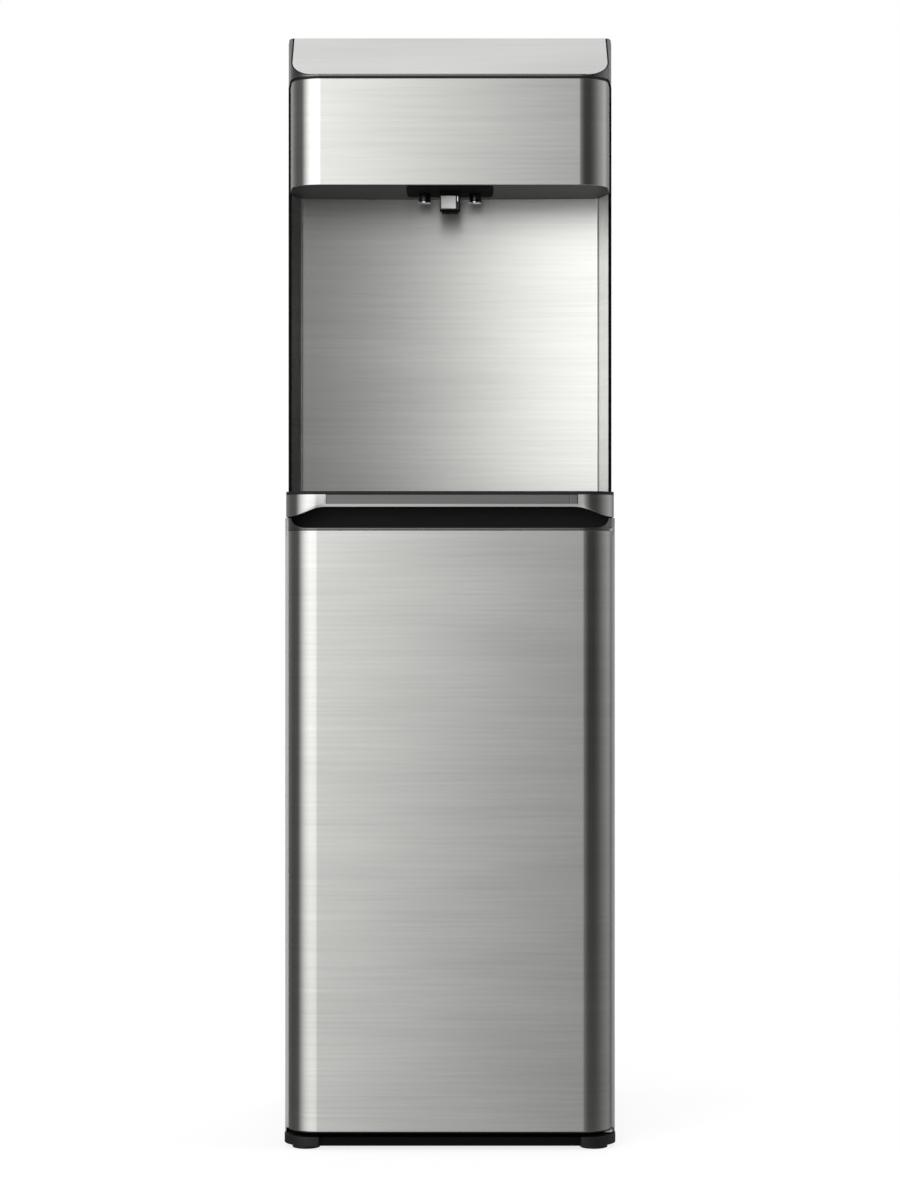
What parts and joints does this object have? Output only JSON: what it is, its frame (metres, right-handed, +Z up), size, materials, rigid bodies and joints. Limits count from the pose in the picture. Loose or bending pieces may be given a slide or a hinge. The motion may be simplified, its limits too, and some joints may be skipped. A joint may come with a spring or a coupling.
{
  "type": "bottleless water cooler",
  "caption": "Free-standing plumbed-in water cooler with a dispensing alcove under an overhanging head, a drip shelf and a filter bay behind a full-height door.",
  "frame": {"origin": "on the floor, in the middle of the plan", "axes": "+Z up, -Y towards the user in front, +X to the user's right"},
  "size_m": [0.311, 0.37, 1.05],
  "materials": {
    "brushed_steel": "brushed, level grain",
    "bright_steel": "fine satin",
    "side_paint": "silver-grey powder coat",
    "zinc_steel": "zinc-coated sheet",
    "black_plastic": "fine texture",
    "dark_grey_plastic": "satin",
    "dark_gloss": "gloss",
    "rubber": "matt",
    "white_plastic": "semi-gloss",
    "silicone_tube": "translucent white",
    "tank_steel": "satin",
    "foam": "moulded bead foam",
    "copper": "drawn tube",
    "heater": "mica band",
    "black_paint": "black enamel",
    "board": "solder mask",
    "red_rocker": "gloss",
    "green_rocker": "gloss"
  },
  "bodies": {
    "cabinet": {"head_front_panel": "brushed_steel", "control_fascia": "brushed_steel", "alcove_liner": "brushed_steel", "shelf_band": "bright_steel", "spout_sleeve": "bright_steel", "left_side_panel": "side_paint", "right_side_panel": "side_paint", "rear_panel": "zinc_steel", "mid_deck": "zinc_steel", "bay_liner": "zinc_steel", "door_hinges": "zinc_steel", "cabinet_screws": "zinc_steel", "base_pan": "black_plastic", "edge_trims": "black_plastic", "head_frame": "black_plastic", "nozzle_plate": "black_plastic", "shelf_housing": "black_plastic", "top_cover": "black_plastic", "switch_bezels": "black_plastic", "cord_gland": "black_plastic", "door_magnet": "black_plastic", "head_underside": "dark_grey_plastic", "top_trim": "dark_gloss", "hot_nozzle": "dark_gloss", "cold_nozzle": "dark_gloss", "compressor_mounts": "rubber", "filter_manifold": "white_plastic", "inlet_fitting": "white_plastic", "drain_outlet": "white_plastic", "inlet_valve": "white_plastic", "dispense_valves": "white_plastic", "water_tubes": "silicone_tube", "cold_tank": "tank_steel", "hot_tank": "tank_steel", "tank_insulation": "foam", "refrigerant_tubes": "copper", "evaporator": "copper", "heater_band": "heater", "compressor": "black_paint", "condenser_coil": "black_paint", "condenser_grille": "black_paint", "touch_board": "board"},
    "door": {"door_panel": "brushed_steel", "door_liner": "black_plastic", "door_back_plate": "black_plastic", "door_top_cap": "black_plastic", "catch_plate": "zinc_steel"},
    "tray": {"drip_tray": "black_plastic", "tray_fascia": "bright_steel"},
    "drip_grate": {"drip_grate": "black_plastic"},
    "sediment_filter": {"sediment_filter": "white_plastic"},
    "carbon_filter": {"carbon_filter": "white_plastic"},
    "hot_switch": {"hot_switch": "red_rocker"},
    "cold_switch": {"cold_switch": "green_rocker"},
    "drain_cap": {"drain_cap": "rubber"},
    "foot_front_left": {"foot_front_left": "rubber"},
    "foot_front_right": {"foot_front_right": "rubber"},
    "foot_rear_left": {"foot_rear_left": "rubber"},
    "foot_rear_right": {"foot_rear_right": "rubber"}
  },
  "joints": [
    {"name": "door_swing", "type": "hinge", "parent": "cabinet", "child": "door", "pos_m": [0.148, -0.162, 0.3], "axis": [0, 0, 1], "range_deg": [0, 110]},
    {"name": "tray_slide", "type": "slide", "parent": "cabinet", "child": "tray", "axis": [0, -1, 0], "range_m": [0, 0.11]},
    {"name": "grate_lift", "type": "slide", "parent": "cabinet", "child": "drip_grate", "axis": [0, 0, 1], "range_m": [0, 0.04]},
    {"name": "sediment_filter_twist", "type": "hinge", "parent": "cabinet", "child": "sediment_filter", "pos_m": [-0.042, -0.063, 0.4], "axis": [0, 0, 1], "range_deg": [0, 90]},
    {"name": "carbon_filter_twist", "type": "hinge", "parent": "cabinet", "child": "carbon_filter", "pos_m": [0.042, -0.063, 0.4], "axis": [0, 0, 1], "range_deg": [0, 90]},
    {"name": "hot_switch_rock", "type": "hinge", "parent": "cabinet", "child": "hot_switch", "pos_m": [-0.026, 0.1582, 0.94], "axis": [1, 0, 0], "range_deg": [0, 16]},
    {"name": "cold_switch_rock", "type": "hinge", "parent": "cabinet", "child": "cold_switch", "pos_m": [0.026, 0.1582, 0.94], "axis": [1, 0, 0], "range_deg": [0, 16]},
    {"name": "drain_cap_pull", "type": "slide", "parent": "cabinet", "child": "drain_cap", "axis": [0, 1, 0], "range_m": [0, 0.015]},
    {"name": "foot_front_left_screw", "type": "hinge", "parent": "cabinet", "child": "foot_front_left", "pos_m": [-0.1345, -0.165, 0.002], "axis": [0, 0, 1], "range_deg": [0, 720]},
    {"name": "foot_front_right_screw", "type": "hinge", "parent": "cabinet", "child": "foot_front_right", "pos_m": [0.1345, -0.165, 0.002], "axis": [0, 0, 1], "range_deg": [0, 720]},
    {"name": "foot_rear_left_screw", "type": "hinge", "parent": "cabinet", "child": "foot_rear_left", "pos_m": [-0.1345, 0.1412, 0.002], "axis": [0, 0, 1], "range_deg": [0, 720]},
    {"name": "foot_rear_right_screw", "type": "hinge", "parent": "cabinet", "child": "foot_rear_right", "pos_m": [0.1345, 0.1412, 0.002], "axis": [0, 0, 1], "range_deg": [0, 720]}
  ]
}
